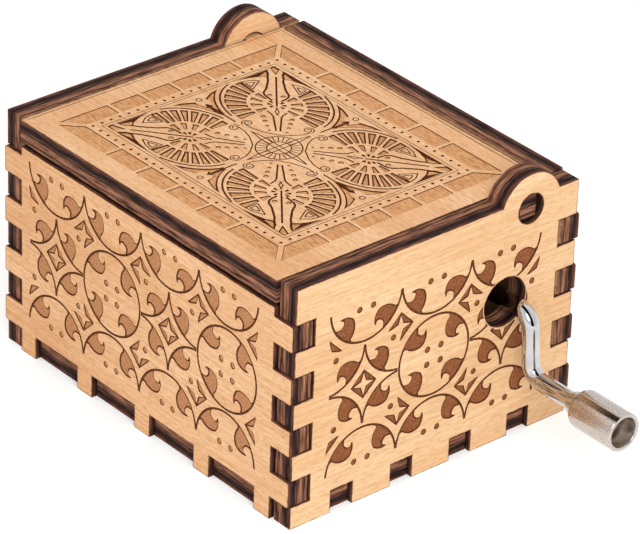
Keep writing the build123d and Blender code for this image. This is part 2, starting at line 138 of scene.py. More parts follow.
# Laser-cut plywood edge: red-brown charcoal in thin ragged streaks along the plies, blackest
# near the outer face and at the glue lines. Soot hardly shines.
charred_edge = blank("charred_plywood_edge")
place = add(charred_edge, "TexCoord").outputs["Object"]
layer = add(charred_edge, "Attribute", attribute_name="depth").outputs["Fac"]
board_thick = 3.4 * mm
streak_length = 3.5 * mm
streak_thick = 0.4 * mm
diagonal = {0: place, 1: (1.0, 1.0, 1.0)}
lengthwise = add(charred_edge, "VectorMath", diagonal, operation="DOT_PRODUCT").outputs["Value"]
run = add(charred_edge, "Math", {0: lengthwise, 1: 1 / streak_length}, operation="MULTIPLY")
sheet = add(charred_edge, "Math", {0: layer, 1: board_thick / streak_thick}, operation="MULTIPLY")
unrolled = add(charred_edge, "CombineXYZ", {"X": run.outputs[0], "Y": sheet.outputs[0]})
fibre = add(charred_edge, "TexNoise", {"Vector": unrolled.outputs[0], "Scale": 1.0, "Detail": 4.0})
wander = add(charred_edge, "TexNoise", {"Vector": place, "Scale": 1 / (3 * mm), "Detail": 3.0})
shifted = add(charred_edge, "MapRange", {"Value": wander.outputs[0], "To Min": -0.1, "To Max": 0.1})
ply = add(charred_edge, "Math", {0: layer, 1: shifted.outputs[0]})
plies = [
    (0.0, "#8A5A44"), (0.13, "#5E3A2E"), (0.22, "#382320"), (0.36, "#362220"),
    (0.42, "#74503F"), (0.48, "#442A23"), (0.56, "#9A674F"), (0.68, "#B27B5F"),
    (0.78, "#A46E53"), (0.84, "#402620"), (0.90, "#96644C"), (1.0, "#A26F55"),
]
striped = add(charred_edge, "ValToRGB", {"Fac": ply.outputs[0]}, stops=plies)
soot = [(0.34, "#4A4443"), (0.62, "#FFFFFF")]
streaked = add(charred_edge, "ValToRGB", {"Fac": fibre.outputs[0]}, stops=soot)
layers = {0: 0.9, 6: striped.outputs[0], 7: streaked.outputs[0]}
edge_colour = add(charred_edge, "Mix", layers, data_type="RGBA", blend_type="MULTIPLY")
crust = add(charred_edge, "Bump", {"Strength": 0.5, "Distance": 0.08 * mm, "Height": fibre.outputs[0]})
shader = add(charred_edge, "BsdfPrincipled", {
    "Base Color": edge_colour.outputs[2],
    "Roughness": 0.75,
    "IOR": 1.45,
    "Specular IOR Level": 0.12,
    "Normal": crust.outputs[0],
})
add(charred_edge, "OutputMaterial", {"Surface": shader.outputs[0]})

ridge_pitch = 0.21 * mm


def engraved_floor(name, dark, light, across, pit):
    # Wood burnt away line by line: brown and dull, with pits, and with the ridges between the
    # passes of the beam drawn at over twice their real spacing, so that they show.
    burnt = blank(name)
    spot = add(burnt, "TexCoord").outputs["Object"]
    bands_per_scale = 20 / (2 * pi)
    passes = {
        "Vector": spot,
        "Scale": 1 / (ridge_pitch * bands_per_scale),
        "Distortion": 2.0,
        "Detail Scale": 3.0,
    }
    beam = add(burnt, "TexWave", passes, wave_type="BANDS", bands_direction=across)
    pitted = add(burnt, "Mapping", {"Vector": spot, "Scale": [1 / (size * mm) for size in pit]})
    pits = add(burnt, "TexNoise", {"Vector": pitted.outputs[0], "Scale": 1.0, "Detail": 4.0})
    raster = add(burnt, "Mix", {0: 0.25, 2: pits.outputs[0], 3: beam.outputs["Fac"]})
    shades = add(burnt, "ValToRGB", {"Fac": raster.outputs[0]}, stops=[(0.3, dark), (0.62, light)])
    ridges = add(burnt, "Bump", {"Strength": 0.4, "Distance": 0.05 * mm, "Height": raster.outputs[0]})
    shader = add(burnt, "BsdfPrincipled", {
        "Base Color": shades.outputs[0],
        "Roughness": 0.8,
        "IOR": 1.45,
        "Specular IOR Level": 0.2,
        "Normal": ridges.outputs[0],
    })
    add(burnt, "OutputMaterial", {"Surface": shader.outputs[0]})
    return burnt


burnt_floor = engraved_floor("burnt_engraving", "#9C6339", "#CB9265", "Z", (0.35, 0.35, 0.35))
deep_floor = engraved_floor("deep_burnt_engraving", "#68371D", "#9A5E38", "Z", (0.35, 0.35, 0.35))
tinted_floor = engraved_floor("light_engraving", "#AC6C3B", "#E4AC78", "Y", (1.2, 0.3, 0.3))


def scorched_line(name, dark, light):
    # A cut of the beam and the wall of each pocket: a dull dark brown with lighter specks.
    scorched = blank(name)
    spot = add(scorched, "TexCoord").outputs["Object"]
    speckle = add(scorched, "TexNoise", {"Vector": spot, "Scale": 1 / (0.6 * mm), "Detail": 3.0})
    browns = add(scorched, "ValToRGB", {"Fac": speckle.outputs[0]}, stops=[(0.3, dark), (0.7, light)])
    shader = add(scorched, "BsdfPrincipled", {
        "Base Color": browns.outputs[0],
        "Roughness": 0.85,
        "IOR": 1.45,
        "Specular IOR Level": 0.05,
    })
    add(scorched, "OutputMaterial", {"Surface": shader.outputs[0]})
    return scorched


strong_line = scorched_line("scorched_line", "#4C2A18", "#744428")
crease = radians(33)


def set_in_place(bm, name, body, node, finishes):
    # Makes the piece, smooth where its faces meet at a small angle, in the place of its CAD node.
    for face in bm.faces:
        face.smooth = True
    for edge in bm.edges:
        edge.smooth = edge.calc_face_angle(pi) < crease
    mesh = bpy.data.meshes.new(name)
    bm.to_mesh(mesh)
    bm.free()
    for finish in finishes:
        mesh.materials.append(finish)
    piece = bpy.data.objects.new(name, mesh)
    bpy.context.scene.collection.objects.link(piece)
    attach(piece, body)
    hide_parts(node)
    return piece


# The places of a board's finishes, and the widest dark rims round its burnt floors, in millimetres
FACE, EDGE, LINE, BURNT, DEEP, TINT = range(6)
rims = {BURNT: 0.25, DEEP: 0.25, TINT: 0.08}
rim_share = 0.1
fringe = 0.22 * mm
engraving_depth = 0.08 * mm
weld = 0.001 * mm
touch = 0.01 * mm
flatness = radians(0.5)


def turning(loop):
    # Twice the area inside a closed outline, negative if it runs clockwise.
    return sum(a[0] * b[1] - b[0] * a[1] for a, b in zip(loop, loop[1:] + loop[:1]))


def floor_outline(shape, rim):
    # The outline moved inwards by the rim's width in millimetres, less on small shapes. Very
    # sharp corners go, and so do points that come nearer than the rim to another side.
    turn = turning(shape)
    rim = min(rim, rim_share * abs(turn) ** 0.5)
    sharpest = 0.3
    slack = 0.97
    corners = [Vector(p) for p in (shape if turn > 0 else shape[::-1])]
    sides = list(zip(corners, corners[1:] + corners[:1]))
    inner = []
    for i, (here, after) in enumerate(sides):
        along = (here - corners[i - 1]).normalized() + (after - here).normalized()
        if along.length < sharpest:
            continue
        spot = here + Vector((-along.y, along.x)) * 2 * rim / along.length_squared
        crossings = 0
        clear = True
        for a, b in sides:
            near, share = intersect_point_line(spot, a, b)
            near = (a, b)[share > 0.5] if not 0 < share < 1 else near
            clear = clear and (spot - near.to_2d()).length > slack * rim
            if (a.y > spot.y) != (b.y > spot.y):
                crossings += spot.x < a.x + (b.x - a.x) * (spot.y - a.y) / (b.y - a.y)
        if clear and crossings % 2:
            inner.append(tuple(spot))
    return inner


def plywood_board(
    node, body, thick, outer, veneer, engraved={}, line=strong_line, floors=(burnt_floor, deep_floor),
):
    # A copy of the CAD board with a stained fringe round both faces, and with the engraved
    # shapes, closed outlines in millimetres, sunk into the outer face.
    across, up = [axis for axis in range(3) if axis != thick]
    low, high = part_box(node)
    shown, hidden = (high[thick], low[thick]) if outer > 0 else (low[thick], high[thick])
    bm = bmesh.new()
    bm.from_mesh(cad[node].data)
    bmesh.ops.remove_doubles(bm, verts=bm.verts, dist=weld)
    bmesh.ops.dissolve_limit(bm, angle_limit=flatness, verts=bm.verts, edges=bm.edges)
    char = bm.verts.layers.float.new("char")
    depth = bm.verts.layers.float.new("depth")
    for vert in bm.verts:
        vert[char] = 1.0
        vert[depth] = (vert.co[thick] - shown) / (hidden - shown)
    for face in bm.faces:
        face.material_index = EDGE
    for level in (hidden, shown):
        flat = [
            face for face in bm.faces
            if abs(face.normal[thick]) > 0.9 and abs(face.verts[0].co[thick] - level) < touch
        ]
        ring = bmesh.ops.inset_region(
            bm, faces=flat, thickness=fringe, use_even_offset=True, use_boundary=True,
        )
        for face in flat + ring["faces"]:
            face.material_index = FACE
        for face in flat:
            for vert in face.verts:
                vert[char] = 0.0

    # The outlines cut up the flat part of the outer face: lines first, then the floor of each
    # shape, then the dark rim that the beam leaves round it. What lies inside one is sunk.
    outlines = [(LINE, shape) for shape in engraved.get(LINE, [])]
    rimmed = [(kind, shape) for kind in rims for shape in engraved.get(kind, [])]
    floor_shapes = [(kind, floor_outline(shape, rims[kind])) for kind, shape in rimmed]
    outlines += [(kind, shape) for kind, shape in floor_shapes if len(shape) > 2]
    outlines += [(LINE, shape) for _, shape in rimmed]
    if outlines:
        loops = [[(v.co[across] / mm, v.co[up] / mm) for v in face.verts] for face in flat]
        loops += [shape for _, shape in outlines]
        points, sides = [], []
        for loop in loops:
            sides.append(list(range(len(points), len(points) + len(loop))))
            points += loop if turning(loop) > 0 else loop[::-1]
        inside_only, apart = 1, 1e-5
        cut = delaunay_2d_cdt([Vector(p) for p in points], [], sides, inside_only, apart)
        spots, _, tiles, origins, _, sources = cut
        for spot in [spot for spot, origin in zip(spots, origins) if not origin]:
            # An outline that runs off the flat part gives the fringe beyond it the same corner.
            for edge in [edge for face in flat for edge in face.edges]:
                a, b = [Vector((vert.co[across], vert.co[up])) / mm for vert in edge.verts]
                share = (spot - a).dot(b - a) / (b - a).length_squared
                if 0 < share < 1 and (a.lerp(b, share) - spot).length < 10 * apart:
                    bmesh.utils.edge_split(edge, edge.verts[0], share)
                    break
        bmesh.ops.delete(bm, geom=flat, context="FACES")
        corners = []
        for spot in spots:
            where = Vector((0, 0, 0))
            where[thick], where[across], where[up] = shown, spot[0] * mm, spot[1] * mm
            corners.append(bm.verts.new(where))
        turned_over = (outer > 0) != (thick != 1)
        for tile, found in zip(tiles, sources):
            if not found or min(found) >= len(flat):
                continue
            face = bm.faces.new([corners[i] for i in (tile[::-1] if turned_over else tile)])
            covers = [i - len(flat) for i in found if i >= len(flat)]
            face.material_index = outlines[min(covers)][0] if covers else FACE
        bmesh.ops.delete(bm, geom=[v for v in corners if not v.link_faces], context="VERTS")
        bmesh.ops.remove_doubles(bm, verts=bm.verts, dist=weld)
        tops = [f for f in bm.faces if f.material_index >= LINE]
        before = set(bm.faces)
        made = set(bmesh.ops.extrude_face_region(bm, geom=tops)["geom"])
        bmesh.ops.delete(bm, geom=tops, context="FACES")
        for face in bm.faces:
            if face not in before and face not in made:
                face.material_index = LINE
        step = Vector((0, 0, 0))
        step[thick] = -outer * engraving_depth
        bmesh.ops.translate(bm, vec=step, verts=[g for g in made if isinstance(g, bmesh.types.BMVert)])

    finishes = [veneer, charred_edge, line, *floors, tinted_floor]
    set_in_place(bm, node + "_board", body, node, finishes)


plywood_board("bottom_panel", "case", 2, -1, veneer_x)

# Front and back: boards with finger joints at both ends. A band of circles and four-pointed
# stars with hooked leaves is burnt into the outer face, one shape at a time.
line_width = 0.36
ring_radius = 6.35
column_pitch = 12.76
row_step = 13.25
star_step = 6.5
diamond_step = 6.75
leaf_start = 29.5
leaf_points = [
    (0, 0), (5, 0.85), (3, 1.6), (-3, 1.85), (-9, 1.4), (-9.5, 1.95), (-5, 2.65), (4, 3.1),
    (14, 3.25), (26, 2.9), (33.5, 2.1), (35, 1.15), (34, 0.5), (37.5, 0), (26, -0.1), (12, -0.1),
]
star_corners = [(0, 2.35), (2.35, 0), (1.75, 0), (0.42, 0.42), (0, 1.75)]
dot_radius = 0.5


def arc(centre, radius, start, stop, step=8):
    # Points along part of a circle, from one angle to the other in about equal steps.
    count = max(2, round(abs(stop - start) / step))
    turns = [radians(start + (stop - start) * i / count) for i in range(count + 1)]
    return [(centre[0] + radius * cos(t), centre[1] + radius * sin(t)) for t in turns]


def groove(points, width):
    # A line of that width, as a closed outline on both sides of the points.
    left, right = [], []
    for i, (x, y) in enumerate(points):
        before = points[max(i - 1, 0)]
        after = points[min(i + 1, len(points) - 1)]
        run = hypot(after[0] - before[0], after[1] - before[1])
        nx = -(after[1] - before[1]) / run * width / 2
        ny = (after[0] - before[0]) / run * width / 2
        left.append((x + nx, y + ny))
        right.append((x - nx, y - ny))
    return left + right[::-1]


def dot(x, y, radius):
    return arc((x, y), radius, 0, 330, 30)


def rounded(points, steps=4):
    # A smooth closed curve through the points.
    curve = []
    for i, b in enumerate(points):
        a, c, d = points[i - 1], points[(i + 1) % len(points)], points[(i + 2) % len(points)]
        for k in range(steps):
            t = k / steps
            curve.append(tuple(
                b[n] + t * (c[n] - a[n]) / 2
                + t * t * (2 * a[n] - 5 * b[n] + 4 * c[n] - d[n]) / 2
                + t * t * t * (3 * b[n] - a[n] - 3 * c[n] + d[n]) / 2
                for n in (0, 1)
            ))
    return curve


def leaf(hub, quarter):
    # A hooked leaf on the inside of a ring: angles along the ring and distances in from it.
    outline = []
    for angle, inward in leaf_points:
        reach = ring_radius - inward
        turn = radians(leaf_start + 90 * quarter + angle)
        outline.append((hub[0] + reach * cos(turn), hub[1] + reach * sin(turn)))
    return rounded(outline)


def star_part(x, y, side, row):
    # One quarter of the ground round a four-pointed star.
    return [(x + side * a, y + row * b) for a, b in star_corners]


def leaf_band(columns, centre):
    # The lines of the band, and the shapes that are burnt out as a whole.
    lines, shapes = [], []
    places = [place for place, _ in columns]
    pair_apart, pair_height = 1.22, 12.1
    ring_dot_x, ring_dot_y, ring_dot_radius = 1.24, 1.22, 0.52
    diamond_dot = 1.25
    half_gap, star_gap = 4, 2
    for place, kind in columns:
        for row in (-1, 1):
            hub = (place, centre + row * row_step)
            start = (row > 0) * 180
            half_ring = arc(hub, ring_radius, start + half_gap, start + 180 - half_gap)
            lines.append(groove(half_ring, line_width))
            shapes += [leaf(hub, quarter + (row > 0) * 2) for quarter in (0, 1)]
            for side in (-1, 1):
                shapes.append(dot(place + side * pair_apart, centre + row * pair_height, dot_radius))
        for side, row, quarter in ((1, 1, 0), (-1, 1, 1), (-1, -1, 2), (1, -1, 3)):
            if kind == "ring":
                hub = (place, centre)
                lines.append(groove(arc(hub, ring_radius, 90 * quarter, 90 * quarter + 90), line_width))
                shapes.append(leaf(hub, quarter))
                shapes.append(dot(place + side * ring_dot_x, centre + row * ring_dot_y, ring_dot_radius))
            else:
                hub = (place - side * column_pitch / 2, centre - row * star_step)
                turn = 90 * quarter
                side_arc = arc(hub, ring_radius, turn + star_gap, turn + 90 - star_gap)
                lines.append(groove(side_arc, line_width))
                shapes.append(leaf(hub, quarter))
                shapes.append(star_part(place, centre, side, row))
    for gap in range(len(columns) + 1):
        x = places[0] + (gap - 0.5) * column_pitch
        for side, column in ((-1, gap - 1), (1, gap)):
            if 0 <= column < len(columns):
                for row in (-1, 1):
                    for lift in (-1, 1):
                        y = centre + row * diamond_step
                        if columns[column][1] == "star" and lift != row:
                            shapes.append(dot(x + side * diamond_dot, y + lift * diamond_dot, dot_radius))
                        else:
                            shapes.append(star_part(x, y, side, lift))
    return lines, shapes


face_kinds = ("star", "ring", "star", "ring")
face_shift, face_height = -0.76, 19.2
face_columns = [(face_shift + column_pitch * (i - 1.5), kind) for i, kind in enumerate(face_kinds)]
lines, shapes = leaf_band(face_columns, face_height)
plywood_board("front_panel", "case", 1, -1, veneer_x, {LINE: lines, BURNT: shapes})
plywood_board("back_panel", "case", 1, 1, veneer_x, {LINE: lines, BURNT: shapes})

# Side boards: the same band with three columns, a round ear with the hinge hole, and on the
# right the hole for the crank, which was cut through the finished engraving.
side_kinds = ("star", "ring", "star")
side_shift, side_height = -0.33, 18.8
side_columns = [(side_shift + column_pitch * (i - 1), kind) for i, kind in enumerate(side_kinds)]
lines, shapes = leaf_band(side_columns, side_height)
plywood_board("left_panel", "case", 0, -1, veneer_y, {LINE: lines, DEEP: shapes})
plywood_board("right_panel", "case", 0, 1, veneer_y, {LINE: lines, DEEP: shapes})

# Lid: one board with a square tenon at each end for the hinge. A border of bricks is tinted
# by the beam, and inside a row of dots four fan medallions stand round a small rosette.
lid_middle = (0.0, -2.1)
panel_half = (20.0, 15.8)
corner_signs = [(-1, -1), (-1, 1), (1, -1), (1, 1)]
spear_line, fan_line, vein_line, stem_line, stalk_line = 0.34, 0.28, 0.28, 0.27, 0.26
ring_line, thin_line, fine_line, spoke_line, edge_line, frame_line = 0.2, 0.19, 0.18, 0.16, 0.14, 0.11
lines, shapes, fans, bricks = [], [], [], []


def on_lid(points):
    return [(lid_middle[0] + a, lid_middle[1] + b) for a, b in points]


def quarters(points, both=True):
    # The same points, as shares of the panel's half sizes, in all four quarters of the panel, and
    # for both also mirrored over the diagonal of each quarter.
    copies = []
    for flip in (False, True) if both else (False,):
        turned = [(b, a) if flip else (a, b) for a, b in points]
        for sx, sy in corner_signs:
            copies.append(on_lid([(sx * a * panel_half[0], sy * b * panel_half[1]) for a, b in turned]))
    return copies


# Fans: eight long, four short and three tiny wedges in each half of a medallion, under a curved
# line. The beam burnt the two rear medallions deeper than the two in front.
fan_hub = (0.5, 0.505)
fan_start, fan_turn = 92, 86
near_share, far_share = 0.7, 0.85
for row, count, near, far, width in (
    ("long", 8, 0.245, 0.425, 5.4), ("short", 4, 0.115, 0.215, 8.5), ("tiny", 3, 0.035, 0.075, 14.0),
):
    for i in range(count):
        turn = fan_start + fan_turn * i / (count - 1)
        wedge = arc(fan_hub, near, turn - width * near_share, turn + width * near_share, 5)
        wedge += arc(fan_hub, far, turn + width * far_share, turn - width * far_share, 5)
        for copy in quarters(wedge):
            behind = copy[0][1] > lid_middle[1]
            (lines if row == "tiny" else fans if behind else shapes).append(copy)
lines += [groove(rim, fan_line) for rim in quarters(arc(fan_hub, 0.458, 103, 172, 5))]

# Shields between the medallions, each with a stem and a small ring
shield = [(0.0, 0.655)] + arc(fan_hub, 0.497, 168, 119, 5)
shield += [(0.165, 0.925), (0.06, 0.88), (0.066, 0.80), (0.03, 0.775), (0.0, 0.825)]
shapes += quarters(shield)
lines += [groove(stem, stem_line) for stem in quarters([(0.0, 0.48), (0.0, 0.67)])]
small_ring = 0.42
for top in quarters([(0.0, 0.895)]):
    lines += [groove(arc(top[0], small_ring, half, half + 180, 30), fine_line) for half in (0, 180)]

# Corners: burnt triangles along the frame, nested triangles, the spear with its vein and beads
shapes += quarters([(0.505, 0.963), (0.87, 0.963), (0.79, 0.865), (0.72, 0.91), (0.63, 0.94)])
shapes += quarters([(0.86, 0.863), (0.908, 0.962), (0.972, 0.962), (0.972, 0.914)], False)
triangle = [(0.523, 0.925), (0.60, 0.91), (0.677, 0.865), (0.523, 0.79), (0.523, 0.925)]
nest_middle = (0.56, 0.86)
for size in (1.0, 0.5):
    nest = [tuple(m + (c - m) * size for m, c in zip(nest_middle, corner)) for corner in triangle]
    for edge in quarters(nest):
        lines += [groove([a, b], thin_line) for a, b in zip(edge, edge[1:])]
spear = [(0.523, 0.574), (0.527, 0.63), (0.536, 0.672), (0.56, 0.706), (0.63, 0.742), (0.744, 0.832)]
spear += [(0.785, 0.88), (0.824, 0.909), (0.858, 0.962)]
lines += [groove(side, spear_line) for side in quarters(spear)]
lines += [groove(vein, vein_line) for vein in quarters([(0.483, 0.482), (0.836, 0.843)], False)]
eye = [(0.374, 0.388), (0.43, 0.405), (0.463, 0.472)]
lines += [groove(lash, thin_line) for lash in quarters(eye)]
stalk = [(0.36, 0.478), (0.352, 0.42), (0.337, 0.384), (0.18, 0.204)]
lines += [groove(side, stalk_line) for side in quarters(stalk)]
for bead, size in (
    ((0.57, 0.648), 0.4), ((0.262, 0.425), 0.4), ((0.22, 0.365), 0.38), ((0.18, 0.302), 0.32),
    ((0.14, 0.24), 0.22),
):
    shapes += [dot(*spot[0], size) for spot in quarters([bead])]

# Scrolls: a line from the spiral beside one axis to the spiral beside the next
scroll = [(0.038, 0.41), (0.046, 0.33), (0.08, 0.248), (0.148, 0.148)]
lines += [groove(side, thin_line) for side in quarters(scroll)]
coil_start, coil_shrink, coil_step = 0.9, 0.045, 40
coil = []
for i in range(15):
    reach, turn = coil_start - coil_shrink * i, radians(180 - coil_step * i)
    coil.append((reach * cos(turn), reach * sin(turn)))
for share_x, share_y, bends in (
    (0.075, 0.421, coil), (0.421, 0.075, [(b, a) for a, b in coil]),
):
    x, y = share_x * panel_half[0], share_y * panel_half[1]
    for sx, sy in corner_signs:
        lines.append(groove(on_lid([(sx * (x + a), sy * (y + b)) for a, b in bends]), fine_line))

# Rosette: two rings, spokes, and a cross with pointed arms
rosette_rings = (3.35, 1.75)
spoke_ends = (1.9, 3.3)
arm_half, arm_straight, arm_x, arm_y = 0.42, 3.4, 6.1, 5.8
for ring in rosette_rings:
    lines += [groove(arc(lid_middle, ring, half, half + 180, 10), ring_line) for half in (0, 180)]
for i in range(24):
    turn = radians(15 * i + 7.5)
    spoke = on_lid([(reach * cos(turn), reach * sin(turn)) for reach in spoke_ends])
    lines.append(groove(spoke, spoke_line))
for side in (-arm_half, arm_half):
    bar = [(-arm_x, 0), (-arm_straight, side), (arm_straight, side), (arm_x, 0)]
    post = [(0, -arm_y), (side, -arm_straight), (side, arm_straight), (0, arm_y)]
    lines += [groove(on_lid(arm), fine_line) for arm in (bar, post)]

# Frame: two lines, a row of dots, and a thin line along the rear and the left edge
inner_half = (19.45, 15.25)
for x, y in (panel_half, inner_half):
    frame_loop = on_lid([(-x, -y), (x, -y), (x, y), (-x, y), (-x, -y)])
    lines += [groove([a, b], frame_line) for a, b in zip(frame_loop, frame_loop[1:])]
row_x, row_y, row_dot = 20.7, 16.85, 0.25
for sign in (-1, 1):
    row = [(row_x * (2 * i / 24 - 1), sign * row_y) for i in range(25)]
    row += [(sign * row_x, row_y * (2 * i / 21 - 1)) for i in range(1, 21)]
    lines += [dot(x, y, row_dot) for x, y in on_lid(row)]
edge_x, edge_front, edge_rear = 27.7, -25.2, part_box("lid")[1][1] / mm - 0.6
lines.append(groove([(-edge_x, edge_front), (-edge_x, edge_rear), (edge_x, edge_rear)], edge_line))

# Bricks: six to a side with mitred ends, left standing apart by a narrow strip
brick_gap = 0.55
for half_x, half_y, deep, pitch, upright in (
    (24.5, 20.5, 2.8, 6.65, False), (20.5, 24.5, 2.9, 5.6, True),
):
    low = half_y - deep
    row = []
    for i in range(-2, 2):
        left, right = i * pitch + brick_gap / 2, (i + 1) * pitch - brick_gap / 2
        row.append([(left, half_y), (right, half_y), (right, low), (left, low)])
    for sx in (-1, 1):
        inner = sx * (2 * pitch + brick_gap / 2)
        outer = sx * (half_x - brick_gap)
        row.append([(inner, half_y), (outer, half_y), (outer - sx * deep, low), (inner, low)])
    for sy in (-1, 1):
        for brick in row:
            bricks.append(on_lid([(sy * b, a) if upright else (a, sy * b) for a, b in brick]))

# The beam ran faster over the lid than over the walls, so each floor is one shade paler
faint_line = scorched_line("faint_scorched_line", "#401E0C", "#663418")
engraved = {LINE: lines, BURNT: shapes, DEEP: fans, TINT: bricks}
plywood_board("lid", "lid", 2, 1, veneer_x, engraved, faint_line, (tinted_floor, burnt_floor))

# Movement frame: one zinc casting with the comb's seat, two cheeks for the cylinder and two
# posts for the crank, tumbled after casting and fixed to the floor board by three screws.
sharp = radians(40)


def machined(node, body, finish, break_edge):
    # A copy of the CAD piece with its edges broken by that much and its round faces smooth.
    bm = bmesh.new()
    bm.from_mesh(cad[node].data)
    bmesh.ops.remove_doubles(bm, verts=bm.verts, dist=weld / 2)
    bmesh.ops.dissolve_limit(bm, angle_limit=flatness, verts=bm.verts, edges=bm.edges)
    piece = set_in_place(bm, node + "_finished", body, node, [finish])
    if break_edge:
        bevel = piece.modifiers.new("broken_edges", "BEVEL")
        bevel.width = break_edge
        bevel.segments = 2
        bevel.limit_method = "ANGLE"
        bevel.angle_limit = sharp
        bevel.harden_normals = True


# Tumbled zinc: an even light grey with a soft sheen and the fine pebble of the mould.
zinc = blank("tumbled_zinc_casting")
place = add(zinc, "TexCoord").outputs["Object"]
pebble = add(zinc, "TexNoise", {"Vector": place, "Scale": 1 / (0.5 * mm), "Detail": 3.0})
greys = add(zinc, "ValToRGB", {"Fac": pebble.outputs[0]}, stops=[(0.3, "#8C8C8B"), (0.7, "#A9A9A7")])
sheen = add(zinc, "MapRange", {"Value": pebble.outputs[0], "To Min": 0.38, "To Max": 0.56})
skin = add(zinc, "Bump", {"Strength": 0.3, "Distance": 0.04 * mm, "Height": pebble.outputs[0]})
shader = add(zinc, "BsdfPrincipled", {
    "Base Color": greys.outputs[0],
    "Metallic": 1.0,
    "Roughness": sheen.outputs[0],
    "Normal": skin.outputs[0],
})
add(zinc, "OutputMaterial", {"Surface": shader.outputs[0]})
machined("bedplate", "case", zinc, 0.15 * mm)

# Cylinder: a brass tube with raised pins on a steel arbor, closed by a nylon cap at one end
# and by the nylon worm wheel at the other. The tube was turned, so it has fine rings.
brass = blank("turned_brass")
place = add(brass, "TexCoord").outputs["Object"]
ring_size = (6 * mm, 0.12 * mm, 6 * mm)
rings = add(brass, "Mapping", {"Vector": place, "Scale": [1 / s for s in ring_size]})
tool = add(brass, "TexNoise", {"Vector": rings.outputs[0], "Scale": 1.0, "Detail": 2.0})
tarnish = add(brass, "TexNoise", {"Vector": place, "Scale": 1 / (5 * mm), "Detail": 3.0})
golds = [(0.3, "#A98645"), (0.55, "#CFAC63"), (0.75, "#DDBE7C")]
gold = add(brass, "ValToRGB", {"Fac": tarnish.outputs[0]}, stops=golds)
polish = add(brass, "MapRange", {"Value": tool.outputs[0], "To Min": 0.2, "To Max": 0.38})
marks = add(brass, "Bump", {"Strength": 0.15, "Distance": 0.01 * mm, "Height": tool.outputs[0]})
shader = add(brass, "BsdfPrincipled", {
    "Base Color": gold.outputs[0],
    "Metallic": 1.0,
    "Roughness": polish.outputs[0],
    "Normal": marks.outputs[0],
})
add(brass, "OutputMaterial", {"Surface": shader.outputs[0]})

# Moulded black nylon: not quite black, half matt, with the fine spark texture of the mould.
nylon = blank("moulded_black_nylon")
place = add(nylon, "TexCoord").outputs["Object"]
spark = add(nylon, "TexNoise", {"Vector": place, "Scale": 1 / (0.25 * mm), "Detail": 2.0})
blacks = add(nylon, "ValToRGB", {"Fac": spark.outputs[0]}, stops=[(0.3, "#161618"), (0.7, "#232326")])
dull = add(nylon, "MapRange", {"Value": spark.outputs[0], "To Min": 0.4, "To Max": 0.6})
grit = add(nylon, "Bump", {"Strength": 0.2, "Distance": 0.02 * mm, "Height": spark.outputs[0]})
shader = add(nylon, "BsdfPrincipled", {
    "Base Color": blacks.outputs[0],
    "Roughness": dull.outputs[0],
    "IOR": 1.53,
    "Normal": grit.outputs[0],
})
add(nylon, "OutputMaterial", {"Surface": shader.outputs[0]})
machined("cylinder_barrel", "cylinder", brass, 0.0)
machined("cylinder_end_cap", "cylinder", nylon, 0.1 * mm)
machined("worm_wheel", "cylinder", nylon, 0.0)

# Comb: hardened steel with eighteen teeth cut from one plate, ground flat across the teeth,
# held on its seat by two slotted screws with washers. Arbor and screws are bright steel too.
steel = blank("ground_steel")
place = add(steel, "TexCoord").outputs["Object"]
stroke_size = (5 * mm, 0.1 * mm, 0.1 * mm)
strokes = add(steel, "Mapping", {"Vector": place, "Scale": [1 / s for s in stroke_size]})
scratch = add(steel, "TexNoise", {"Vector": strokes.outputs[0], "Scale": 1.0, "Detail": 3.0})
silvers = [(0.3, "#8F8E8B"), (0.7, "#B5B4B0")]
silver = add(steel, "ValToRGB", {"Fac": scratch.outputs[0]}, stops=silvers)
gleam = add(steel, "MapRange", {"Value": scratch.outputs[0], "To Min": 0.22, "To Max": 0.42})
ground = add(steel, "Bump", {"Strength": 0.15, "Distance": 0.01 * mm, "Height": scratch.outputs[0]})
shader = add(steel, "BsdfPrincipled", {
    "Base Color": silver.outputs[0],
    "Metallic": 1.0,
    "Roughness": gleam.outputs[0],
    "Normal": ground.outputs[0],
})
add(steel, "OutputMaterial", {"Surface": shader.outputs[0]})
machined("comb", "case", steel, 0.0)
machined("cylinder_arbor", "case", steel, 0.1 * mm)
machined("comb_washers", "case", steel, 0.05 * mm)
machined("comb_screws", "case", steel, 0.05 * mm)
machined("bedplate_screws", "case", steel, 0.05 * mm)
machined("thrust_washer", "crank", steel, 0.05 * mm)

# Worm and collar: turned brass sleeves pressed on the crank's shaft, one on each side of the
# inner post, so that the shaft can't slide.
machined("worm", "crank", brass, 0.0)
machined("rod_collar", "crank", brass, 0.1 * mm)

# Crank: one steel wire, straight through the movement and bent twice cold, then polished and
# chromed. Its end is riveted over inside the knob, so the knob turns but can't come off.
rod_radius = 1.3 * mm
bend_radius = 2.4 * mm
leg_place = 35.35 * mm
bend_steps = 18
rivet_radius = 1.65 * mm
rivet_thick = 0.8 * mm
rivet_profile = [(0.0, 1.0), (0.45, 1.0), (0.7, 0.9), (1.0, 0.6)]
joints = {joint["name"]: joint for joint in frame["joints"]}
shaft_line = Vector(joints["crank_spin"]["pos_m"])
pin_line = Vector(joints["knob_spin"]["pos_m"])
ahead = Vector((1, 0, 0))
down = pin_line - shaft_line
down.x = 0.0
throw = down.length
down.normalize()
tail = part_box("crank_rod")[0][0]
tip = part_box("crank_rod")[1][0]

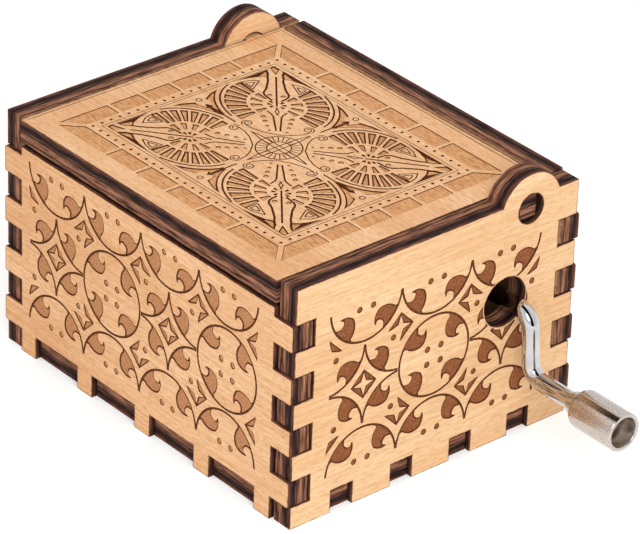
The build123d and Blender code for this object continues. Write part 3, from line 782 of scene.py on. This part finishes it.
bm = bmesh.new()
start = Vector((tail, shaft_line.y, shaft_line.z))
stand = Matrix.Translation(start) @ Matrix.Rotation(radians(90), 4, "Y")
bmesh.ops.create_circle(bm, cap_ends=False, segments=40, radius=rod_radius, matrix=stand)
first = bm.edges[:]
end = bm.verts[:] + first
leg_top = Vector((leg_place, shaft_line.y, shaft_line.z))
first_bend = leg_top - bend_radius * ahead + bend_radius * down
last_bend = leg_top + bend_radius * ahead + (throw - bend_radius) * down
for centre, axis, turn, run in (
    (start, ahead, 0.0, (leg_place - bend_radius - tail) * ahead),
    (first_bend, ahead.cross(down), 90.0, Vector((0, 0, 0))),
    (start, ahead, 0.0, (throw - 2 * bend_radius) * down),
    (last_bend, down.cross(ahead), 90.0, Vector((0, 0, 0))),
    (start, ahead, 0.0, (tip - rivet_thick - leg_place - bend_radius) * ahead),
):
    steps = bend_steps if turn else 1
    end = bmesh.ops.spin(
        bm, geom=end, cent=centre, axis=axis, dvec=run, angle=radians(turn), steps=steps,
    )["geom_last"]
pin_end = Vector((0, pin_line.y, pin_line.z))
for run, share in rivet_profile:
    end = bmesh.ops.spin(bm, geom=end, cent=start, axis=ahead, angle=0.0, steps=1)["geom_last"]
    for vert in [g for g in end if isinstance(g, bmesh.types.BMVert)]:
        spoke = vert.co - pin_end
        spoke.x = 0.0
        vert.co = pin_end + spoke.normalized() * rivet_radius * share
        vert.co.x = tip - rivet_thick * (1.0 - run)
bmesh.ops.edgeloop_fill(bm, edges=[g for g in end if isinstance(g, bmesh.types.BMEdge)])
bmesh.ops.edgeloop_fill(bm, edges=first)
bmesh.ops.recalc_face_normals(bm, faces=bm.faces)
for face in bm.faces:
    if face.calc_center_median().x > tip - rivet_thick + touch:
        face.material_index = 1

# Bright chrome on polished wire: a clear mirror, a shade darker than silver, with faint smears.
chrome = blank("bright_chrome_plate")
place = add(chrome, "TexCoord").outputs["Object"]
smear = add(chrome, "TexNoise", {"Vector": place, "Scale": 1 / (3 * mm), "Detail": 3.0})
tints = add(chrome, "ValToRGB", {"Fac": smear.outputs[0]}, stops=[(0.3, "#BDBDC0"), (0.7, "#CFCFD1")])
haze = add(chrome, "MapRange", {"Value": smear.outputs[0], "To Min": 0.04, "To Max": 0.12})
shader = add(chrome, "BsdfPrincipled", {
    "Base Color": tints.outputs[0],
    "Metallic": 1.0,
    "Roughness": haze.outputs[0],
})
add(chrome, "OutputMaterial", {"Surface": shader.outputs[0]})
set_in_place(bm, "crank_wire", "crank", "crank_rod", [chrome, steel])
machined("knob_stop", "crank", chrome, 0.1 * mm)

# Knob: turned from bar, nickel plated and left satin. It is hollow at the outer end, with a
# thin bright rim, and the riveted end of the wire sits at the bottom of the hollow.
knob_radius = 2.9 * mm
knob_bore = 1.37 * mm
knob_wall = 0.6 * mm
knob_hollow = 3.4 * mm
shoulder = 1.3 * mm
outer_lip = 0.22 * mm
inner_lip = 0.18 * mm
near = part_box("crank_knob")[0][0]
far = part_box("crank_knob")[1][0]
hollow_radius = knob_radius - knob_wall
hollow_bottom = far - knob_hollow


def from_pin(spot):
    return hypot(spot.y - pin_line.y, spot.z - pin_line.z)


bm = bmesh.new()
outline = [
    (near, knob_bore), (near, knob_radius), (far, knob_radius), (far, hollow_radius),
    (hollow_bottom, hollow_radius), (hollow_bottom, knob_bore),
]
verts = [bm.verts.new((x, pin_line.y + reach, pin_line.z)) for x, reach in outline]
edges = [bm.edges.new((a, b)) for a, b in zip(verts, verts[1:] + verts[:1])]
bmesh.ops.spin(
    bm, geom=verts + edges, cent=pin_line, axis=ahead, angle=radians(360), steps=56, use_merge=True,
)
bmesh.ops.recalc_face_normals(bm, faces=bm.faces)
for x, reach, size, segments in (
    (near, knob_radius, shoulder, 7),
    (far, knob_radius, outer_lip, 3),
    (far, hollow_radius, inner_lip, 3),
):
    corner = [
        edge for edge in bm.edges
        if all(abs(v.co.x - x) < touch and abs(from_pin(v.co) - reach) < touch for v in edge.verts)
    ]
    bmesh.ops.bevel(
        bm, geom=corner, offset=size, offset_type="OFFSET", segments=segments, profile=0.5,
        affect="EDGES", material=-1, clamp_overlap=True,
    )

# Satin nickel: warm grey metal with a soft sheen, and the fine rings that the lathe left.
nickel = blank("satin_nickel_plate")
place = add(nickel, "TexCoord").outputs["Object"]
mark_size = (0.15 * mm, 5 * mm, 5 * mm)
turned = add(nickel, "Mapping", {"Vector": place, "Scale": [1 / s for s in mark_size]})
ring_marks = add(nickel, "TexNoise", {"Vector": turned.outputs[0], "Scale": 1.0, "Detail": 2.0})
speck = add(nickel, "TexNoise", {"Vector": place, "Scale": 1 / (0.22 * mm), "Detail": 2.0})
warm_greys = [(0.3, "#ACA49E"), (0.7, "#D4CCC6")]
plating = add(nickel, "ValToRGB", {"Fac": speck.outputs[0]}, stops=warm_greys)
satin = add(nickel, "MapRange", {"Value": ring_marks.outputs[0], "To Min": 0.16, "To Max": 0.25})
lathe = add(nickel, "Bump", {"Strength": 0.12, "Distance": 0.01 * mm, "Height": ring_marks.outputs[0]})
cut_direction = add(nickel, "Tangent", direction_type="RADIAL", axis="X")
shader = add(nickel, "BsdfPrincipled", {
    "Base Color": plating.outputs[0],
    "Metallic": 1.0,
    "Roughness": satin.outputs[0],
    "Anisotropic": 0.95,
    "Anisotropic Rotation": 0.25,
    "Tangent": cut_direction.outputs[0],
    "Normal": lathe.outputs[0],
})
add(nickel, "OutputMaterial", {"Surface": shader.outputs[0]})

# Inside the hollow the plating is thin and stained: a dull brown grey with cloudy patches.
hollow = blank("stained_hollow")
place = add(hollow, "TexCoord").outputs["Object"]
cloudy = add(hollow, "TexNoise", {"Vector": place, "Scale": 1 / (1.2 * mm), "Detail": 3.0})
clouded = [(0.35, "#A89A90"), (0.65, "#EADCD0")]
dull_greys = add(hollow, "ValToRGB", {"Fac": cloudy.outputs[0]}, stops=clouded)
blur = add(hollow, "MapRange", {"Value": cloudy.outputs[0], "To Min": 0.35, "To Max": 0.5})
shader = add(hollow, "BsdfPrincipled", {
    "Base Color": dull_greys.outputs[0],
    "Metallic": 1.0,
    "Roughness": blur.outputs[0],
})
add(hollow, "OutputMaterial", {"Surface": shader.outputs[0]})
for face in bm.faces:
    middle = face.calc_center_median()
    if middle.x > hollow_bottom - 10 * touch and from_pin(middle) < hollow_radius + touch:
        face.material_index = 1
set_in_place(bm, "knob_turned", "knob", "crank_knob", [nickel, hollow])

# Camera: a long lens at about two thirds of a metre, which looks down on the front right corner
# of the box, level but for a slight roll.
view_turn, view_height, view_roll = radians(48.8167), radians(30.0246), radians(2.0504)
view_back = Vector((sin(view_turn), -cos(view_turn), 0)) * cos(view_height)
view_back.z = sin(view_height)
level = Vector((0, 0, 1)).cross(view_back).normalized()
view_up = view_back.cross(level)
right = cos(view_roll) * level + sin(view_roll) * view_up
upright = cos(view_roll) * view_up - sin(view_roll) * level
lens = bpy.data.cameras.new("camera")
lens.lens = 251.52
lens.sensor_width = 36.0
lens.clip_end = 10.0
camera = bpy.data.objects.new("camera", lens)
camera.matrix_world = Matrix((right, upright, view_back)).transposed().to_4x4()
shift_right, shift_up, distance = 5.29715 * mm, 15.40834 * mm, 645.83 * mm
camera.location = shift_right * right + shift_up * upright + distance * view_back
bpy.context.scene.collection.objects.link(camera)
bpy.context.scene.camera = camera

# Floor: a plain white table that keeps the soft shadow of the box. To the eye and in mirrors it
# glows a little, so that it runs into the white backdrop without an edge.
table_half = 1.5
table = bpy.data.meshes.new("table")
bm = bmesh.new()
bmesh.ops.create_grid(bm, x_segments=1, y_segments=1, size=table_half)
bm.to_mesh(table)
bm.free()
white = blank("white_table")
rays = add(white, "LightPath")
matt = add(white, "BsdfDiffuse", {"Color": linear("#F2F2F2")})
glow = add(white, "Emission", {"Color": linear("#FFFFFF"), "Strength": 0.3})
lit = add(white, "AddShader", {0: matt.outputs[0], 1: glow.outputs[0]})
either = {0: rays.outputs["Is Camera Ray"], 1: rays.outputs["Is Glossy Ray"]}
seen = add(white, "Math", either, operation="MAXIMUM")
choice = add(white, "MixShader", {0: seen.outputs[0], 1: matt.outputs[0], 2: lit.outputs[0]})
add(white, "OutputMaterial", {"Surface": choice.outputs[0]})
table.materials.append(white)
floor = bpy.data.objects.new("table", table)
bpy.context.scene.collection.objects.link(floor)

# Light: a white tent all round, and one large soft lamp in front on the right, which makes the
# right side of the box the brightest.
world = bpy.data.worlds.new("white_tent")
world.use_nodes = True
world.node_tree.nodes.clear()
paths = add(world, "LightPath")
tent = add(world, "Background", {"Color": linear("#FFFFFF"), "Strength": 0.8})
backdrop = add(world, "Background", {"Color": linear("#FFFFFF"), "Strength": 1.0})
either = {0: paths.outputs["Is Camera Ray"], 1: paths.outputs["Is Glossy Ray"]}
direct = add(world, "Math", either, operation="MAXIMUM")
blend = add(world, "MixShader", {0: direct.outputs[0], 1: tent.outputs[0], 2: backdrop.outputs[0]})
add(world, "OutputWorld", {"Surface": blend.outputs[0]})
bpy.context.scene.world = world
softbox = bpy.data.lights.new("lamp", "AREA")
softbox.size = 0.35
softbox.energy = 2.4
lamp = bpy.data.objects.new("lamp", softbox)
lamp.location = (0.50, -0.28, 0.38)
box_middle = Vector((0, 0, 20 * mm))
lamp.rotation_euler = (box_middle - lamp.location).to_track_quat("-Z", "Y").to_euler()
bpy.context.scene.collection.objects.link(lamp)

# Dark gap: the tent has a dark seam over the object, from the left to the right. It is drawn as
# a black arch that shows only in polished metal and takes no light away.
seam_radius = 0.5
seam_sides = (-0.2, 0.08)
seam_turn = radians(150)
seam = bpy.data.meshes.new("dark_seam")
bm = bmesh.new()
ends = [bm.verts.new((seam_radius, side, 0.0)) for side in seam_sides]
strip = bm.edges.new(ends)
bmesh.ops.spin(bm, geom=[*ends, strip], cent=(0, 0, 0), axis=(0, 1, 0), angle=-seam_turn, steps=30)
bm.to_mesh(seam)
bm.free()
black = blank("black_seam")
felt = add(black, "BsdfDiffuse", {"Color": linear("#0C0C0D")})
add(black, "OutputMaterial", {"Surface": felt.outputs[0]})
seam.materials.append(black)
arch = bpy.data.objects.new("dark_seam", seam)
arch.visible_camera = False
arch.visible_diffuse = False
arch.visible_shadow = False
bpy.context.scene.collection.objects.link(arch)
bpy.context.scene.view_settings.view_transform = "Standard"
